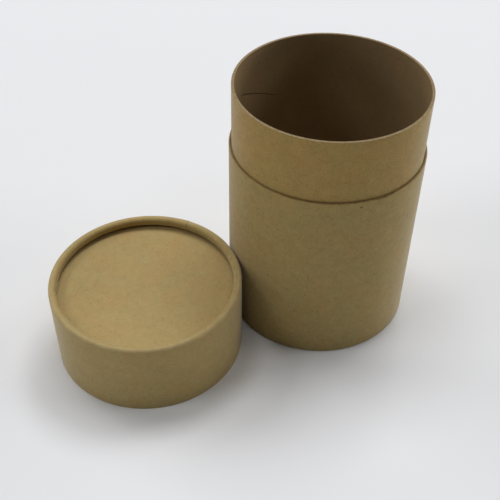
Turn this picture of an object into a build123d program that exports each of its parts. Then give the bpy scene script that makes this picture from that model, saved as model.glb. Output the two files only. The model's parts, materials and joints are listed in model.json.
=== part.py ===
from build123d import *
import os

# Round paperboard pack: a body tube with a neck, and its lid taken off and standing beside it.
# Millimetres, +Z up, with the origin on the floor midway between the two, the body towards +X.

# Shell: the wound tube that the body and the lid are both cut from
shell_diameter = 90.0
shell_wall = 1.1
body_height = 94.0
lid_height = 40.5

# Neck: a second wound tube, glued inside the body and standing out of its top
neck_wall = 1.2
neck_rise = 30.6
slide_clearance = 0.1

# Rolled edge: the board turned in on itself at the body's foot and at the lid's crest
roll_bend_radius = 0.5
roll_flat = 0.6
roll_side = 1.1
roll_return = 0.7

# Discs: punched boards that close the body and the lid beside their rolled edges
base_thickness = 1.6
panel_thickness = 1.6
panel_gap = 1.2
disc_clearance = 0.1

# Space left between the body and the lid
lid_gap = 0.5

# Sizes worked out from those above
shell_radius = shell_diameter / 2
shell_inner_radius = shell_radius - shell_wall
neck_radius = shell_inner_radius - slide_clearance
neck_inner_radius = neck_radius - neck_wall
disc_radius = shell_inner_radius - disc_clearance
roll_outer_radius = roll_bend_radius + shell_wall
roll_width = roll_flat + 2 * roll_outer_radius
roll_height = roll_side + 2 * roll_outer_radius
base_top = roll_height + base_thickness
neck_top = body_height + neck_rise
body_axis_x = (shell_diameter + lid_gap) / 2
lid_axis_x = -body_axis_x


# Ring of shell board standing on the floor, its top edge rolled inwards, down and back under itself
def rolled_shell(height):
    roll_end = shell_radius - roll_width + roll_outer_radius + roll_return
    outer_face = FilletPolyline(
        (shell_radius, 0),
        (shell_radius, height),
        (shell_radius - roll_width, height),
        (shell_radius - roll_width, height - roll_height),
        (roll_end, height - roll_height),
        radius=roll_outer_radius,
    )
    inner_face = FilletPolyline(
        (shell_inner_radius, 0),
        (shell_inner_radius, height - shell_wall),
        (shell_radius - roll_width + shell_wall, height - shell_wall),
        (shell_radius - roll_width + shell_wall, height - roll_height + shell_wall),
        (roll_end, height - roll_height + shell_wall),
        radius=roll_bend_radius,
    )
    mouth_cut = Line(outer_face @ 0, inner_face @ 0)
    roll_cut = Line(outer_face @ 1, inner_face @ 1)
    section = make_face([outer_face, roll_cut, inner_face, mouth_cut])
    return revolve(Plane.XZ * section, Axis.Z)


# Flat round board
def disc(thickness):
    return extrude(Circle(disc_radius), thickness)


# Body tube, rolled edge down, so that the roll is the foot it stands on
def outer_tube():
    return Pos(body_axis_x, 0, body_height) * Rot(180, 0, 0) * rolled_shell(body_height)


# Neck sleeve, from the base disc up through the body to the mouth
def neck_sleeve():
    ring = Circle(neck_radius) - Circle(neck_inner_radius)
    return Pos(body_axis_x, 0, base_top) * extrude(ring, neck_top - base_top)


# Base disc, lying on the rolled foot inside the body
def base_disc():
    return Pos(body_axis_x, 0, roll_height) * disc(base_thickness)


# Lid ring, rolled edge up
def lid_wall():
    return Pos(lid_axis_x, 0, 0) * rolled_shell(lid_height)


# Lid panel, glued by its rim to the lid ring a little below the rolled edge
def lid_panel():
    panel_bottom = lid_height - roll_height - panel_gap - panel_thickness
    return Pos(lid_axis_x, 0, panel_bottom) * disc(panel_thickness)


pieces = {
    "outer_tube": outer_tube(),
    "neck_sleeve": neck_sleeve(),
    "base_disc": base_disc(),
    "lid_wall": lid_wall(),
    "lid_panel": lid_panel(),
}

os.makedirs("parts", exist_ok=True)
for name, piece in pieces.items():
    export_step(piece, f"parts/{name}.step")
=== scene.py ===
import json
import math
import random
import bpy
from mathutils import Matrix, Vector, noise


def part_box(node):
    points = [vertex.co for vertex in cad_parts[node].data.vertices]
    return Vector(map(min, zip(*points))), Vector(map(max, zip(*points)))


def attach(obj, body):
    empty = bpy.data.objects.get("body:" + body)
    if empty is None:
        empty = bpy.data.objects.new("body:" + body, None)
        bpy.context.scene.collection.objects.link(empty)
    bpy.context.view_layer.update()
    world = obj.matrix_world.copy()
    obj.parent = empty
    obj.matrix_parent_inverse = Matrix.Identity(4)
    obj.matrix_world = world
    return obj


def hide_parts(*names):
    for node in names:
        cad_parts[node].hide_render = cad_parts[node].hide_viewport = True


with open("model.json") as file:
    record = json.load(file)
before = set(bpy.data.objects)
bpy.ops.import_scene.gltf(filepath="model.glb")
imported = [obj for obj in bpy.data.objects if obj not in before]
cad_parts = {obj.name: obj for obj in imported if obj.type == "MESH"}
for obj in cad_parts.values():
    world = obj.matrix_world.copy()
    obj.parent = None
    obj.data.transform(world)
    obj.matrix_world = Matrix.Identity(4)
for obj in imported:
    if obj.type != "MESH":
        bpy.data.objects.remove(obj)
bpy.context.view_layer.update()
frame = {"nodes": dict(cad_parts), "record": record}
print("frame loaded:", sorted(frame["nodes"]))


# Mesh helpers, metres throughout

meshing = {
    "startSize": 0.01,         # plane that shrinks to the first vertex
    "mergeGap": 0.000002,
    "smoothDegrees": 40,
}


def clearSelection():
    if bpy.context.mode != "OBJECT":
        bpy.ops.object.mode_set(mode="OBJECT")
    bpy.ops.object.select_all(action="DESELECT")


def roundNode(node):  # axis, radius and heights of a round CAD node
    low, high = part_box(node)
    return {
        "axisX": (low.x + high.x) / 2,
        "radius": max(high.x - low.x, high.y - low.y) / 2,
        "foot": low.z,
        "top": high.z,
    }


def arc(centre, radius, start, end, steps):  # points of an arc in the radius and height plane
    points = []
    for step in range(steps + 1):
        turn = math.radians(start + (end - start) * step / steps)
        points.append((centre[0] + radius * math.cos(turn), centre[1] + radius * math.sin(turn)))
    return points


def rise(radius, start, end, spacing):  # points up or down a straight wall, both ends left out
    count = max(1, round(abs(end - start) / spacing))
    return [(radius, start + (end - start) * step / count) for step in range(1, count)]


def spinProfile(name, axisX, profile, segments):  # one vertex drawn along the profile, then screwed round
    clearSelection()
    bpy.ops.mesh.primitive_plane_add(size=meshing["startSize"], location=(axisX, 0, 0))
    piece = bpy.context.object
    piece.name = name
    piece.data.name = name
    bpy.ops.object.mode_set(mode="EDIT")
    bpy.ops.mesh.select_all(action="SELECT")
    bpy.ops.mesh.merge(type="CENTER")
    here = Vector((0, 0, 0))
    for index, (radius, height) in enumerate(profile):
        there = Vector((radius, 0, height))
        if index == 0:
            bpy.ops.transform.translate(value=there - here)
        else:
            bpy.ops.mesh.extrude_region_move(TRANSFORM_OT_translate={"value": there - here})
        here = there
    bpy.ops.object.mode_set(mode="OBJECT")
    bpy.ops.object.modifier_add(type="SCREW")
    screw = piece.modifiers[-1]
    screw.steps = segments
    screw.render_steps = segments
    bpy.ops.object.modifier_apply(modifier=screw.name)
    bpy.ops.object.mode_set(mode="EDIT")
    bpy.ops.mesh.select_all(action="SELECT")
    bpy.ops.mesh.remove_doubles(threshold=meshing["mergeGap"])
    bpy.ops.mesh.normals_make_consistent(inside=False)
    bpy.ops.object.mode_set(mode="OBJECT")
    bpy.ops.object.transform_apply(location=True, rotation=True, scale=True)
    return piece


def smoothed(piece):
    clearSelection()
    piece.select_set(True)
    bpy.context.view_layer.objects.active = piece
    bpy.ops.object.shade_smooth_by_angle(angle=math.radians(meshing["smoothDegrees"]))


def polar(point, axisX):  # azimuth in degrees and distance from the axis
    away = Vector((point.x - axisX, point.y))
    return math.degrees(math.atan2(away.y, away.x)), away.length


def degreesApart(first, second):
    return (first - second + 180) % 360 - 180


def pushOut(vertex, axisX, amount):  # moves a vertex away from the axis
    away = Vector((vertex.co.x - axisX, vertex.co.y, 0)).normalized()
    vertex.co += away * amount


roundWave = {"waves": 40, "upright": 0.4}   # waves in a metre, and how much slower they are up the wall


def loseRound(vertex, axisX, tube):  # a wound tube is never quite round
    x, y, z = vertex.co
    shiftX, shiftY = tube["waveShift"]
    place = Vector((x + shiftX, y + shiftY, z * roundWave["upright"])) * roundWave["waves"]
    pushOut(vertex, axisX, tube["unround"] * (noise.noise(place) - 1))


# Shader helper: a socket that takes part in sums

midway = 0.5   # of a noise or a chance, which run from 0 to 1


class Wire:
    def __init__(self, tree, socket=None):
        self.tree = tree
        self.socket = socket

    def node(self, kind, settings, sockets, output=0):
        made = self.tree.nodes.new(kind)
        for key, value in settings.items():
            setattr(made, key, value)
        for key, value in sockets.items():
            if isinstance(value, Wire):
                value.feed(made, key)
            else:
                made.inputs[key].default_value = value
        return Wire(self.tree, made.outputs[output])

    def feed(self, node, name):
        self.tree.links.new(self.socket, node.inputs[name])

    def other(self, output):  # another output of the same node
        return Wire(self.tree, self.socket.node.outputs[output])

    def math(self, operation, value=0.0):
        return self.node("ShaderNodeMath", {"operation": operation}, {0: self, 1: value})

    def __add__(self, value):
        return self.math("ADD", value)

    def __sub__(self, value):
        return self.math("SUBTRACT", value)

    def __rsub__(self, value):
        return self.node("ShaderNodeMath", {"operation": "SUBTRACT"}, {0: value, 1: self})

    def __mul__(self, value):
        return self.math("MULTIPLY", value)

    def __truediv__(self, value):
        return self.math("DIVIDE", value)

    def __abs__(self):
        return self.math("ABSOLUTE")

    __radd__ = __add__
    __rmul__ = __mul__

    def hypot(self, value):  # length of two distances at right angles
        return (self * self + value * value).math("SQRT")

    def ramp(self, low, high, atLow=0.0, atHigh=1.0):  # smooth step between two values
        return self.node("ShaderNodeMapRange", {"interpolation_type": "SMOOTHSTEP"}, {
            "Value": self, "From Min": low, "From Max": high, "To Min": atLow, "To Max": atHigh})

    def vector(self, operation, value):
        return self.node("ShaderNodeVectorMath", {"operation": operation}, {0: self, 1: value})

    def split(self):
        return self.node("ShaderNodeSeparateXYZ", {}, {"Vector": self})

    def noise(self, size, detail=2.0, roughness=0.5):  # size of a blob in metres
        return self.node("ShaderNodeTexNoise", {}, {
            "Vector": self, "Scale": 1 / size, "Detail": detail, "Roughness": roughness})

    def drift(self, size, detail=2.0, roughness=0.5):  # the same about nought
        return self.noise(size, detail, roughness) - midway

    def scaled(self, factor):  # a colour made lighter or darker
        return self.node("ShaderNodeVectorMath", {"operation": "SCALE"}, {0: self, "Scale": factor})

    def mix(self, first, second):  # two colours mixed by this mask
        return self.node("ShaderNodeMix", {"data_type": "RGBA"}, {0: self, 6: first, 7: second}, output=2)


# Kraft board finishes

def newMaterial(name):  # a material, its shader, and the place of a point on the piece
    material = bpy.data.materials.new(name)
    material.use_nodes = True
    tree = material.node_tree
    place = Wire(tree).node("ShaderNodeTexCoord", {}, {}, output="Object")
    return material, tree.nodes["Principled BSDF"], place


def dress(shader, colour, rough, height, finish):  # all that varies over a surface
    colour.feed(shader, "Base Color")
    rough.feed(shader, "Roughness")
    bump = height.node("ShaderNodeBump", {}, {
        "Height": height, "Distance": finish["bumpDepth"], "Strength": finish["bumpStrength"]})
    bump.feed(shader, "Normal")


def azimuthOf(parts, axisX):  # radians round a piece's axis
    return parts.other("Y").math("ARCTAN2", parts - axisX)


def fromAxis(parts, axisX):
    return (parts - axisX).hypot(parts.other("Y"))


def roundFrom(parts, size, degrees):  # distance round the wall from an azimuth
    return (azimuthOf(parts, size["axisX"]) - math.radians(degrees)) * size["radius"]


def wallSheet(size):  # the wall unrolled flat: distance round it, distance along it
    def sheetOf(place):
        parts = place.split()
        along = parts.other("Z") - fromAxis(parts, size["axisX"])
        return place.node("ShaderNodeCombineXYZ", {}, {"X": roundFrom(parts, size, 0), "Y": along})
    return sheetOf


def flatSheet(place):  # a disc seen from above
    parts = place.split()
    return place.node("ShaderNodeCombineXYZ", {}, {"X": parts, "Y": parts.other("Y")})


papers = {   # mean colour of a sheet, how strongly its pulp shows, the light its nap catches, and its gloss
    "tube": {"colour": (0.370, 0.269, 0.104), "mottle": 1.6, "sheen": 0.40, "gloss": 0.10},
    "neck": {"colour": (0.377, 0.256, 0.088), "mottle": 1.6, "sheen": 0.40, "gloss": 0.10},
    "lining": {"colour": (0.280, 0.194, 0.099), "mottle": 1.0, "sheen": 0.0, "gloss": 0.08},
    "lid": {"colour": (0.411, 0.301, 0.121), "mottle": 1.2, "sheen": 0.40, "gloss": 0.10},
    "disc": {"colour": (0.469, 0.344, 0.150), "mottle": 1.0, "sheen": 0.15, "gloss": 0.10},
}
kraft = {
    "browner": (1.018, 0.982, 0.968), "greener": (0.982, 1.018, 1.028),   # drift of hue about that colour
    "hue": 0.011, "hueShift": (0.31, 0.17, 0.05), "hueRange": (0.35, 0.65),
    "broad": 0.022, "broadTone": 0.10,       # slow drift of tone over the sheet
    "cloud": 0.0042, "cloudTone": 0.20,      # uneven pulp held to the light
    "grain": 0.00050, "grainTone": 0.34,
    "roughness": 0.86, "cloudRough": 0.12, "grainRough": 0.1,
    "cloudHeight": 0.6, "bumpDepth": 0.00007, "bumpStrength": 0.5,
    "markDark": 0.55, "markDepth": 3,        # painted shade lines of ply seams and wrap ends, and real spots, drawn into the sheet
    "rubbedAndHighlit": (0.60, 0.48, 0.27, 1),         # paper worn pale along an edge, mixed with painted highlight on the lit crest
    "sheenRoughness": 0.35,                  # loose fibres that catch light at the outline
}
fibre = {
    "length": 0.0030, "width": 0.00016, "bend": 1.2,
    "solidWidth": 0.3, "solidLength": 0.35,  # shares at full strength, fading from there
}
paleFibres = {"cell": 0.0030, "shift": (0.013, 0.0091, 0), "share": 0.75, "tone": 0.13, "height": 0.6}
darkFibres = {"cell": 0.0036, "shift": (0.291, 0.2037, 0), "share": 0.6, "tone": 0.17, "height": 0.3}
speck = {
    "cell": 0.0050, "shift": (0.117, 0.0819, 0), "share": 0.45,
    "size": 0.00034, "least": 0.25, "solid": 0.5, "dark": 0.36,
}


def strewn(sheet, kind):  # one random spot in each cell: place from it, and three chances
    moved = sheet.vector("ADD", kind["shift"])
    spot = moved.node("ShaderNodeTexVoronoi", {"voronoi_dimensions": "2D", "feature": "F1"}, {
        "Vector": moved, "Scale": 1 / kind["cell"]})
    away = moved.vector("SUBTRACT", spot.other("Position")).split()
    chance = spot.node("ShaderNodeSeparateColor", {}, {"Color": spot.other("Color")})
    return away, chance


def fibres(sheet, kind):  # short bent hairs lying every way
    away, chance = strewn(sheet, kind)
    turn = chance * math.pi
    cosine = turn.math("COSINE")
    sine = turn.math("SINE")
    along = away * cosine + away.other("Y") * sine
    bend = (chance.other("Blue") - midway) * (fibre["bend"] / fibre["length"])
    across = away.other("Y") * cosine - away * sine + along * along * bend
    line = abs(across).ramp(fibre["width"], fibre["width"] * fibre["solidWidth"])
    ends = abs(along).ramp(fibre["length"] / 2, fibre["length"] * fibre["solidLength"])
    return line * ends * chance.other("Green").math("LESS_THAN", kind["share"])


def specks(sheet):
    away, chance = strewn(sheet, speck)
    reach = away.hypot(away.other("Y"))
    spot = (reach / (chance * speck["size"] + speck["size"] * speck["least"])).ramp(1.0, speck["solid"])
    return spot * chance.other("Green").math("LESS_THAN", speck["share"])


def shaded(colour, shade):
    return tuple(part * factor for part, factor in zip(colour, shade)) + (1,)


def kraftMaterial(name, paper, sheetOf, marks=None, wornAndHighlit=None):
    material, shader, place = newMaterial(name)
    finish = papers[paper]
    sheet = sheetOf(place)
    broad = place.drift(kraft["broad"])
    cloud = place.drift(kraft["cloud"], detail=3.0, roughness=0.6)
    grain = place.drift(kraft["grain"], detail=2.0, roughness=0.6)
    pale = fibres(sheet, paleFibres)
    dark = fibres(sheet, darkFibres)
    pulp = cloud * kraft["cloudTone"] + grain * kraft["grainTone"]
    hairs = pale * paleFibres["tone"] - dark * darkFibres["tone"]
    tone = 1 + broad * kraft["broadTone"] + (pulp + hairs) * finish["mottle"]
    tone = tone * (1 - specks(sheet) * speck["dark"])
    height = grain + pale * paleFibres["height"] - dark * darkFibres["height"]
    height = height + cloud * kraft["cloudHeight"]
    if marks is not None:
        mark = marks(place)
        tone = tone * (1 - mark * kraft["markDark"])
        height = height - mark * kraft["markDepth"]
    hue = place.vector("ADD", kraft["hueShift"]).noise(kraft["hue"], detail=4.0, roughness=0.6)
    brown = shaded(finish["colour"], kraft["browner"])
    green = shaded(finish["colour"], kraft["greener"])
    colour = hue.ramp(*kraft["hueRange"]).mix(brown, green).scaled(tone)
    # rubbed paper and painted highlight: lightened towards a pale colour
    if wornAndHighlit is not None:
        colour = wornAndHighlit(place).mix(colour, kraft["rubbedAndHighlit"])
    rough = kraft["roughness"] + cloud * kraft["cloudRough"] + grain * kraft["grainRough"]
    dress(shader, colour, rough, height, kraft)
    shader.inputs["Specular IOR Level"].default_value = finish["gloss"]
    shader.inputs["Sheen Weight"].default_value = finish["sheen"]
    shader.inputs["Sheen Roughness"].default_value = kraft["sheenRoughness"]
    return material


cutEdge = {
    "pale": (0.36, 0.275, 0.150), "dark": (0.20, 0.138, 0.064),
    "ply": 0.00032, "wander": 0.0002, "wanderSize": 0.004, "wanderTone": 0.2,   # rings that run unevenly
    "fuzz": 0.0009,                                                             # torn fibres
    "fuzzShare": 0.8, "ringShare": 0.12, "lift": 0.1, "paleRange": (0.3, 0.75),
    "roughness": 0.88, "fuzzRough": 0.1, "gloss": 0.25,
    "ringHeight": 0.3, "bumpDepth": 0.00012, "bumpStrength": 0.6,
    "facing": 0.55,            # how squarely a face of the cut looks up or down
}


def cutBoardMaterial(name, axisX, shade):  # the board's section: plies as fine rings, fuzzy
    material, shader, place = newMaterial(name)
    wander = place.drift(cutEdge["wanderSize"])
    deep = fromAxis(place.split(), axisX) + wander * cutEdge["wander"]
    ring = (deep * (2 * math.pi / cutEdge["ply"])).math("SINE")
    fuzz = place.noise(cutEdge["fuzz"], detail=3.0, roughness=0.65)
    mask = fuzz * cutEdge["fuzzShare"] + ring * cutEdge["ringShare"] + cutEdge["lift"]
    dark = shaded(cutEdge["dark"], shade)
    pale = shaded(cutEdge["pale"], shade)
    colour = mask.ramp(*cutEdge["paleRange"]).mix(dark, pale).scaled(1 + wander * cutEdge["wanderTone"])
    rough = cutEdge["roughness"] + fuzz * cutEdge["fuzzRough"]
    dress(shader, colour, rough, fuzz + ring * cutEdge["ringHeight"], cutEdge)
    shader.inputs["Specular IOR Level"].default_value = cutEdge["gloss"]
    return material


def paintFaces(piece, materials, chooser):  # each face takes the slot that the chooser names
    for material in materials:
        piece.data.materials.append(material)
    for face in piece.data.polygons:
        face.material_index = chooser(face)


def seat(piece, body, node):
    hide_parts(node)
    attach(piece, body)
    print("made", piece.name, len(piece.data.polygons), "faces")


# Rolled shells: the wound wall and its edge turned in, down and back under

rolledEdge = {
    "wall": 0.0011,
    "bend": 0.0005,            # inside radius of the turn
    "corner": 0.0012,          # outer edge, pressed tighter than the turns inside
    "width": 0.0038,
    "height": 0.0043,
    "tuck": 0.0007,            # straight end under the roll
    "spacing": 0.0030,         # rows up the wall
    "insideSpacing": 0.0060,
    "segments": 600,
    "mouthSteps": 4, "beadSteps": 10, "underSteps": 8, "insideSteps": 4,
}


def rolledProfile(radius, height, mouth):  # roll at the top, cut mouth at the bottom, closed round
    wall = rolledEdge["wall"]
    bend = rolledEdge["bend"]
    ease = mouth["ease"]
    corner = rolledEdge["corner"]
    outer = bend + wall
    inside = radius - wall
    lip = radius - rolledEdge["width"] + outer        # centre line of the roll's inner turns
    under = height - rolledEdge["height"] + outer     # centre height of the lower turn
    crest = height - outer
    tuckEnd = lip + rolledEdge["tuck"]
    points = arc((radius - ease, ease), ease, -90, 0, rolledEdge["mouthSteps"])
    points += rise(radius, ease, height - corner, rolledEdge["spacing"])
    points += arc((radius - corner, height - corner), corner, 0, 90, rolledEdge["beadSteps"])
    points += arc((lip, crest), outer, 90, 180, rolledEdge["beadSteps"])
    points += arc((lip, under), outer, 180, 270, rolledEdge["underSteps"])
    points += [(tuckEnd, under - outer), (tuckEnd, under - bend)]
    points += arc((lip, under), bend, 270, 180, rolledEdge["insideSteps"])
    points += arc((lip, crest), bend, 180, 90, rolledEdge["insideSteps"])
    points += arc((radius - outer, crest), bend, 90, 0, rolledEdge["insideSteps"])
    points += rise(inside, crest, mouth["chamferDepth"], rolledEdge["insideSpacing"])
    points += [(inside, mouth["chamferDepth"]), (inside + mouth["chamferWidth"], 0)]
    points.append(points[0])
    return points


def onSkin(radius, height, shell, reach):  # true on the papered side of a rolled shell, roll included
    half = rolledEdge["wall"] / 2
    return (radius > shell - half or height > reach - half
            or radius < shell - rolledEdge["width"] + half)


def lapStep(azimuth, shell):  # how far the end of the outer wrap stands out, less and less beyond it
    past = degreesApart(azimuth, shell["seamAzimuth"])
    if 0 <= past < shell["lapDegrees"]:
        return shell["lapRise"] * (1 - past / shell["lapDegrees"])
    return 0.0


# painted shade: a thin dark line where the outer wrap's edge steps out
lapShade = {"width": 0.0004, "solid": 0.4, "dark": 0.55, "wander": 0.0005, "wanderSize": 0.004}


def lapShadeLine(place, size, shell):  # faint painted shade line where the outer wrap ends, over its step
    wander = place.drift(lapShade["wanderSize"], detail=1.0)
    across = roundFrom(place.split(), size, shell["seamAzimuth"]) + wander * lapShade["wander"]
    return abs(across).ramp(lapShade["width"], lapShade["width"] * lapShade["solid"]) * lapShade["dark"]


# Body tube, its roll turned down as the foot

bodyTube = {
    "node": "outer_tube", "cutShade": (1.26, 1.14, 0.88),
    "seamAzimuth": 78.0, "lapDegrees": 9.0, "lapRise": 0.00012, "lapReach": 0.97,  # share of the height
    "mouth": {"ease": 0.00030, "chamferWidth": 0.00025, "chamferDepth": 0.0009},   # worn corners
    "papered": 0.7,            # share of the outer corner that keeps its paper
    "fray": {                  # torn stretch of the mouth's corner
        "azimuth": -84.0, "degrees": 7.0, "depth": 0.0008,
        "ragged": 0.6, "waves": 1500, "bare": 0.2,
    },
    "spot": {"azimuth": -98.2, "height": 0.0915, "size": 0.0007, "solid": 0.4},   # dark fleck in the paper
    "unround": 0.00002, "waveShift": (0, 0),
}


def makeBodyTube():
    size = roundNode(bodyTube["node"])
    height = size["top"] - size["foot"]
    mouth, fray, spot = bodyTube["mouth"], bodyTube["fray"], bodyTube["spot"]
    standing = rolledProfile(size["radius"], height, mouth)
    profile = [(radius, size["top"] - up) for radius, up in standing]
    piece = spinProfile("bodyTube", size["axisX"], profile, rolledEdge["segments"])

    def frayed(azimuth):  # one in the middle of the torn stretch, nought at its ends
        return max(0.0, 1 - (degreesApart(azimuth, fray["azimuth"]) / fray["degrees"]) ** 2)

    for vertex in piece.data.vertices:
        azimuth, radius = polar(vertex.co, size["axisX"])
        up = size["top"] - vertex.co.z
        if onSkin(radius, up, size["radius"], height) and up < height * bodyTube["lapReach"]:
            pushOut(vertex, size["axisX"], lapStep(azimuth, bodyTube))
        if up < mouth["ease"]:
            ragged = fray["ragged"] + fray["ragged"] * noise.noise(vertex.co * fray["waves"])
            vertex.co.z -= fray["depth"] * frayed(azimuth) * ragged
        loseRound(vertex, size["axisX"], bodyTube)

    # a real dark fleck, and the painted shade line of the wrap's end
    def spotAndLapShade(place):
        parts = place.split()
        across = roundFrom(parts, size, spot["azimuth"])
        up = parts.other("Z") - spot["height"]
        reach = across.hypot(up) + place.drift(spot["size"], detail=1.0) * spot["size"]
        fleck = reach.ramp(spot["size"], spot["size"] * spot["solid"])
        return fleck.math("MAXIMUM", lapShadeLine(place, size, bodyTube))

    def chooser(face):  # the cut edge lies inside the worn outer corner, and shows all over a tear
        azimuth, radius = polar(face.center, size["axisX"])
        if face.center.z < size["top"] - mouth["chamferDepth"]:
            return 0
        torn = frayed(azimuth) > fray["bare"] and face.center.z > size["top"] - mouth["ease"]
        return 1 if torn or radius < size["radius"] - mouth["ease"] * bodyTube["papered"] else 0

    skin = kraftMaterial("tubePaper", "tube", wallSheet(size), spotAndLapShade)
    cut = cutBoardMaterial("tubeCutEdge", size["axisX"], bodyTube["cutShade"])
    paintFaces(piece, [skin, cut], chooser)
    smoothed(piece)
    seat(piece, "tube", bodyTube["node"])


makeBodyTube()


# Neck sleeve: the inner tube, with a spiral ply seam on its inside, drawn as a painted shade line

neckSleeve = {
    "node": "neck_sleeve", "cutShade": (1.15, 1.15, 1.20),
    "ease": 0.00010, "easeSteps": 6, "spacing": 0.0035, "segments": 600,
    "seam": {
        "rise": 0.125, "azimuth": 111.7, "height": 0.0995,     # of one turn, and a point on it
        "width": 0.00040, "solid": 0.4, "wander": 0.0006, "wanderSize": 0.012,
        "opens": (97.0, 104.0), "closes": (130.0, 138.0),      # degrees where the painted shade line shows, strongest where light grazes the seam
        "faint": 0.1,                                          # its strength elsewhere
        "spareTurns": 8,                                       # keeps the count of turns above nought
    },
    "unround": 0.00002, "waveShift": (0.3, 0),
}


def neckProfile(size, inside):
    ease = neckSleeve["ease"]
    top = size["top"] - ease
    points = [(size["radius"], size["foot"])]
    points += rise(size["radius"], size["foot"], top, neckSleeve["spacing"])
    points += arc((size["radius"] - ease, top), ease, 0, 90, neckSleeve["easeSteps"])
    points += arc((inside + ease, top), ease, 90, 180, neckSleeve["easeSteps"])
    points += rise(inside, top, size["foot"], neckSleeve["spacing"])
    points += [(inside, size["foot"]), points[0]]
    return points


def makeNeckSleeve():
    size = roundNode(neckSleeve["node"])
    seam = neckSleeve["seam"]
    mouth = next(mount for mount in frame["record"]["mounts"] if mount["name"] == "mouth")
    inside = mouth["dims"]["r_mm"] / 1000   # metres
    middle = (size["radius"] + inside) / 2
    piece = spinProfile("neckSleeve", size["axisX"], neckProfile(size, inside), neckSleeve["segments"])
    for vertex in piece.data.vertices:
        loseRound(vertex, size["axisX"], neckSleeve)

    def plySeamShade(place):  # distance from a helix, narrowed to a painted shade line
        parts = place.split()
        azimuth = azimuthOf(parts, size["axisX"])
        perRadian = seam["rise"] / (2 * math.pi)
        start = seam["height"] - math.radians(seam["azimuth"]) * perRadian
        turns = (parts.other("Z") - azimuth * perRadian - start) / seam["rise"] + seam["spareTurns"]
        away = turns.math("PINGPONG", 0.5) * seam["rise"]   # half a turn up, half a turn down
        away = away + place.drift(seam["wanderSize"], detail=1.0) * seam["wander"]
        line = away.ramp(seam["width"], seam["width"] * seam["solid"])
        opens, opened = (math.radians(angle) for angle in seam["opens"])
        closes, closed = (math.radians(angle) for angle in seam["closes"])
        # the painted shade is full only over the stretch where light grazes the seam
        shows = azimuth.ramp(opens, opened) * azimuth.ramp(closed, closes)
        return line * (shows * (1 - seam["faint"]) + seam["faint"])

    def chooser(face):
        if face.center.z > size["top"] - neckSleeve["ease"] and face.normal.z > cutEdge["facing"]:
            return 2
        return 0 if polar(face.center, size["axisX"])[1] > middle else 1

    outside = kraftMaterial("neckPaper", "neck", wallSheet(size))
    lining = kraftMaterial("neckLining", "lining", wallSheet(size), plySeamShade)
    cut = cutBoardMaterial("neckCutEdge", size["axisX"], neckSleeve["cutShade"])
    paintFaces(piece, [outside, lining, cut], chooser)
    smoothed(piece)
    seat(piece, "tube", neckSleeve["node"])


makeNeckSleeve()


# Discs: punched boards with a slightly uneven face

discs = {
    "baseDisc": {"node": "base_disc", "body": "tube", "swell": 0.00008, "seed": 3.0},
    "lidPanel": {"node": "lid_panel", "body": "lid", "swell": 0.00012, "seed": 7.0},
}
discMesh = {
    "cutShade": (0.8, 0.8, 0.8), "flat": 0.8,   # how squarely a papered face looks up or down
    "ease": 0.00020, "easeSteps": 4, "firstRing": 0.0015, "rings": 26, "segments": 240,
    "waves": 45, "sink": 0.4,                   # of the swell: waves in a metre, and how far it lies lower
}


def discProfile(size):
    ease = discMesh["ease"]
    radius = size["radius"]
    rings = [discMesh["firstRing"] + (radius - ease - discMesh["firstRing"]) * step / discMesh["rings"]
             for step in range(discMesh["rings"])]
    points = [(0, size["top"])]
    points += [(ring, size["top"]) for ring in rings]
    points += arc((radius - ease, size["top"] - ease), ease, 90, 0, discMesh["easeSteps"])
    points += arc((radius - ease, size["foot"] + ease), ease, 0, -90, discMesh["easeSteps"])
    points += [(ring, size["foot"]) for ring in reversed(rings)]
    points.append((0, size["foot"]))
    return points


def makeDisc(name, disc):
    size = roundNode(disc["node"])
    piece = spinProfile(name, size["axisX"], discProfile(size), discMesh["segments"])
    for vertex in piece.data.vertices:
        radius = polar(vertex.co, size["axisX"])[1]
        free = max(0.0, 1 - (radius / (size["radius"] - rolledEdge["width"])) ** 2)   # still at its seat
        wave = noise.noise(Vector((vertex.co.x, vertex.co.y, disc["seed"])) * discMesh["waves"])
        vertex.co.z += disc["swell"] * free * (wave - discMesh["sink"])
    face = kraftMaterial(name + "Paper", "disc", flatSheet)
    edge = cutBoardMaterial(name + "CutEdge", size["axisX"], discMesh["cutShade"])
    paintFaces(piece, [face, edge], lambda side: 0 if abs(side.normal.z) > discMesh["flat"] else 1)
    smoothed(piece)
    seat(piece, disc["body"], disc["node"])


for discName, disc in discs.items():
    makeDisc(discName, disc)


# Lid ring, roll up, with the crimps that rolling leaves

lidRing = {
    "node": "lid_wall", "cutShade": (0.9, 0.9, 0.9), "cutHeight": 0.001,   # the cut lies below this
    "seamAzimuth": 43.1, "lapDegrees": 8.0, "lapRise": 0.00016,
    "mouth": {"ease": 0.00025, "chamferWidth": 0.00025, "chamferDepth": 0.00025},
    "crimps": {
        "count": 46, "seed": 11, "depth": 0.00011, "shares": (0.3, 1.0), "degrees": 0.75, "reach": 3,
    },
    "nick": {"azimuth": 168.7, "depth": 0.00030, "degrees": 1.1},
    "ripple": 0.00005, "rippleWaves": 260,
    "rubAndHighlight": {                                       # the bead's outer corner, worn pale in patches and given painted highlight where its crest catches the light
        "strength": 0.4, "patch": 0.003, "patchRange": (0.3, 0.7), "patchLeast": 0.5,
        "highStart": 0.0016, "highFull": 0.0006,   # below the crest
        "wideStart": 0.0030, "wideFull": 0.0016,   # in from the wall
    },
    "unround": 0.00002, "waveShift": (0, 0.7),
}


def drawCrimps():  # an azimuth and a depth for each
    crimps = lidRing["crimps"]
    draw = random.Random(crimps["seed"])
    drawn = []
    for _ in range(crimps["count"]):
        azimuth = draw.uniform(-180, 180)
        drawn.append((azimuth, draw.uniform(*crimps["shares"]) * crimps["depth"]))
    return drawn


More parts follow.
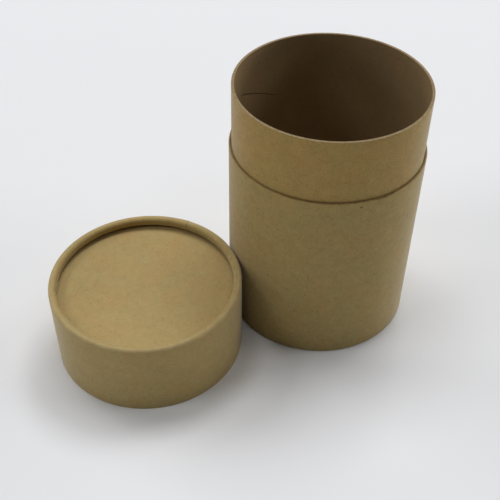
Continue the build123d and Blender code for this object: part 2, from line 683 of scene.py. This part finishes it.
def beadDent(azimuth, drawn):  # how deep the crimps and the nick are at an azimuth
    crimps, nick = lidRing["crimps"], lidRing["nick"]
    dent = 0.0
    for centre, depth in drawn:
        apart = degreesApart(azimuth, centre)
        if abs(apart) < crimps["reach"]:
            dent += depth * math.exp(-(apart / crimps["degrees"]) ** 2)
    apart = degreesApart(azimuth, nick["azimuth"]) / nick["degrees"]
    return dent + nick["depth"] * math.exp(-apart * apart)


def makeLidRing():
    size = roundNode(lidRing["node"])
    height = size["top"] - size["foot"]
    profile = rolledProfile(size["radius"], height, lidRing["mouth"])
    piece = spinProfile("lidRing", size["axisX"], profile, rolledEdge["segments"])
    drawn = drawCrimps()
    rollFoot = height - rolledEdge["height"]
    for vertex in piece.data.vertices:
        azimuth, radius = polar(vertex.co, size["axisX"])
        up = vertex.co.z - size["foot"]
        inRoll = up > rollFoot and radius < size["radius"] - rolledEdge["wall"] / 2
        if onSkin(radius, up, size["radius"], height):
            step = lapStep(azimuth, lidRing)
            pushOut(vertex, size["axisX"], -step if inRoll else step)
            if inRoll:
                inner = min(1.0, (size["radius"] - radius) / rolledEdge["width"])
                dent = beadDent(azimuth, drawn)
                dent += lidRing["ripple"] * (1 + noise.noise(vertex.co * lidRing["rippleWaves"]))
                pushOut(vertex, size["axisX"], dent * inner * inner)
        loseRound(vertex, size["axisX"], lidRing)

    # painted shade line where the lid's wrap ends
    def wrapEndShade(place):
        return lapShadeLine(place, size, lidRing)

    # pale patches along the bead's outer crest: wear, together with painted highlight where the crest faces
    # the lamps
    def rubbedAndHighlitEdge(place):
        rubAndHighlight = lidRing["rubAndHighlight"]
        parts = place.split()
        high = parts.other("Z").ramp(size["top"] - rubAndHighlight["highStart"], size["top"] - rubAndHighlight["highFull"])
        wide = fromAxis(parts, size["axisX"])
        wide = wide.ramp(size["radius"] - rubAndHighlight["wideStart"], size["radius"] - rubAndHighlight["wideFull"])
        patchy = place.noise(rubAndHighlight["patch"], detail=3.0).ramp(*rubAndHighlight["patchRange"], atLow=rubAndHighlight["patchLeast"])
        return high * wide * patchy * rubAndHighlight["strength"]

    def chooser(face):
        return 1 if face.normal.z < -cutEdge["facing"] and face.center.z < lidRing["cutHeight"] else 0

    skin = kraftMaterial("lidPaper", "lid", wallSheet(size), wrapEndShade, rubbedAndHighlitEdge)
    cut = cutBoardMaterial("lidCutEdge", size["axisX"], lidRing["cutShade"])
    paintFaces(piece, [skin, cut], chooser)
    smoothed(piece)
    seat(piece, "lid", lidRing["node"])


makeLidRing()


# Stage: pale floor, soft lamps, a pale room and the camera

stage = {
    "floorRadius": 4.0, "floorSides": 128, "floorColour": (0.895, 0.905, 0.930, 1),
    "floorRoughness": 0.9, "floorGloss": 0.2,
    "roomColour": (0.72, 0.725, 0.735, 1),   # what the camera sees beyond the floor
}
softBox = {"distance": 5.0, "width": 2.0, "height": 1.5}   # far off, so that the floor is lit evenly
lamps = [
    {"name": "leftLow", "azimuth": 172.0, "elevation": 12.0, "watts": 27.0},
    {"name": "leftFront", "azimuth": 177.0, "elevation": 45.0, "watts": 33.0},
    {"name": "leftBack", "azimuth": 127.0, "elevation": 45.0, "watts": 33.0},
    {"name": "backLow", "azimuth": 105.0, "elevation": 12.0, "watts": 30.0},
    {"name": "backTop", "azimuth": 87.0, "elevation": 72.0, "watts": 54.0},
    {"name": "rightBackTop", "azimuth": 37.0, "elevation": 60.0, "watts": 80.0},
    {"name": "rightLow", "azimuth": 7.0, "elevation": 12.0, "watts": 68.0},
    {"name": "right", "azimuth": -23.0, "elevation": 28.0, "watts": 36.0},
    {"name": "frontTop", "azimuth": -68.0, "elevation": 60.0, "watts": 17.0},
]
cameraFit = {
    "place": (-0.1122, -0.2780, 0.3220),
    "heading": 23.32, "pitch": -43.01, "roll": 0.83,   # degrees
    "focalPixels": 853, "framePixels": 500, "sensor": 36.0,
    "nearest": 0.01,
}


def makeFloor():
    clearSelection()
    bpy.ops.mesh.primitive_circle_add(
        vertices=stage["floorSides"], radius=stage["floorRadius"], fill_type="NGON")
    floor = bpy.context.object
    floor.name = "floor"
    material = bpy.data.materials.new("palePaper")
    material.use_nodes = True
    shader = material.node_tree.nodes["Principled BSDF"]
    shader.inputs["Base Color"].default_value = stage["floorColour"]
    shader.inputs["Roughness"].default_value = stage["floorRoughness"]
    shader.inputs["Specular IOR Level"].default_value = stage["floorGloss"]
    floor.data.materials.append(material)


def makeLamps():
    for lamp in lamps:
        turn = math.radians(lamp["azimuth"])
        lift = math.radians(lamp["elevation"])
        away = Vector((math.cos(turn) * math.cos(lift), math.sin(turn) * math.cos(lift), math.sin(lift)))
        clearSelection()
        bpy.ops.object.light_add(type="AREA", location=away * softBox["distance"])
        light = bpy.context.object
        light.name = lamp["name"]
        light.data.shape = "RECTANGLE"
        light.data.size = softBox["width"]
        light.data.size_y = softBox["height"]
        light.data.energy = lamp["watts"]
        light.visible_camera = False
        light.rotation_euler = away.to_track_quat("Z", "Y").to_euler()


def makeRoom():  # seen and mirrored, but it casts no light
    world = bpy.data.worlds.new("paleRoom")
    world.use_nodes = True
    background = world.node_tree.nodes["Background"]
    background.inputs["Color"].default_value = stage["roomColour"]
    path = Wire(world.node_tree).node("ShaderNodeLightPath", {}, {}, output="Is Camera Ray")
    mirrored = path.other("Is Glossy Ray").math("MAXIMUM", path.other("Is Transmission Ray"))
    path.math("MAXIMUM", mirrored).feed(background, "Strength")
    bpy.context.scene.world = world


def makeCamera():
    clearSelection()
    bpy.ops.object.camera_add(location=cameraFit["place"])
    camera = bpy.context.object
    turned = (Matrix.Rotation(-math.radians(cameraFit["heading"]), 4, "Z")
              @ Matrix.Rotation(math.radians(90 + cameraFit["pitch"]), 4, "X")
              @ Matrix.Rotation(math.radians(cameraFit["roll"]), 4, "Z"))
    camera.rotation_euler = turned.to_euler()
    camera.data.sensor_width = cameraFit["sensor"]
    camera.data.lens = cameraFit["focalPixels"] * cameraFit["sensor"] / cameraFit["framePixels"]
    camera.data.clip_start = cameraFit["nearest"]
    bpy.context.scene.camera = camera


makeFloor()
makeLamps()
makeRoom()
makeCamera()
bpy.context.scene.view_settings.view_transform = "Standard"
print("stage set")
